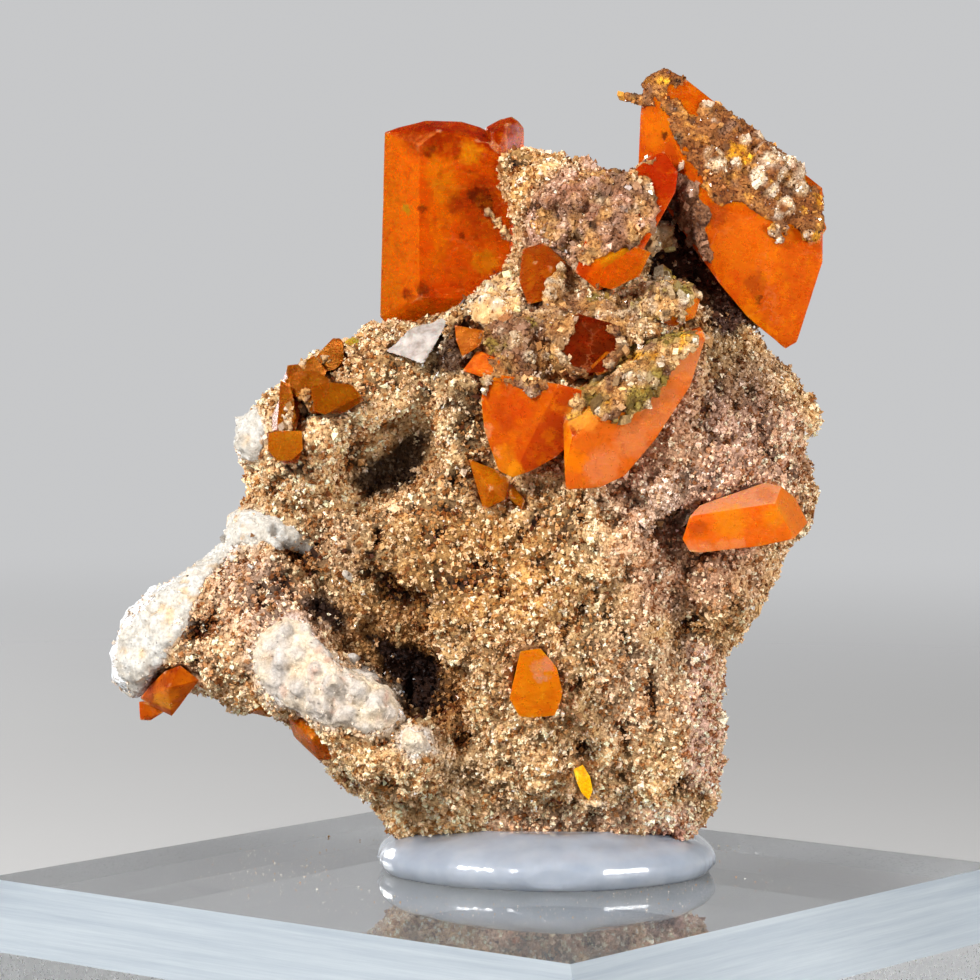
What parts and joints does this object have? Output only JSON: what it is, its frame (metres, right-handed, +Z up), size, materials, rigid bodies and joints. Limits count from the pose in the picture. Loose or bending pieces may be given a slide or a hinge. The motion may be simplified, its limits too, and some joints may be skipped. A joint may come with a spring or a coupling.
{
  "type": "wulfenite on matrix",
  "caption": "Orange tabular wulfenite crystals on a rough, druse-coated tan rock, glued by a translucent pad to a clear square acrylic display block with a frosted bevel.",
  "frame": {"origin": "centre of the acrylic block's underside, where the piece rests", "axes": "+Z up, -Y towards the viewer of the specimen's display face, +X to that viewer's right"},
  "size_m": [0.0714, 0.0714, 0.0637],
  "materials": {
    "acrylic": "clear polished acrylic with a frosted, sawn bevel",
    "glue": "milky translucent hot glue, smooth",
    "rock": "rough tan druse of tiny sparkling grains with white and ochre zones",
    "wulfenite": "translucent orange crystal, glossy to frosted",
    "calcite": "grey white sugary calcite"
  },
  "bodies": {
    "root": {"acrylic_base": "acrylic", "glue_pad": "glue", "matrix": "rock", "crystal_left_plate": "wulfenite", "crystal_right_slab": "wulfenite", "crystal_ridge_slab": "wulfenite", "crystal_amber_upper": "wulfenite", "crystal_centre_cluster": "wulfenite", "crystal_nodule": "wulfenite", "crystal_yellow_upper": "wulfenite", "crystal_left_cluster": "wulfenite", "crystal_small_red": "wulfenite", "crystal_right_prism": "wulfenite", "crystal_lower_front": "wulfenite", "crystal_yellow_chip": "wulfenite", "crystal_left_tip": "wulfenite", "crystal_under_small": "wulfenite", "crystal_under_large": "wulfenite", "calcite_plate": "calcite"}
  },
  "joints": []
}
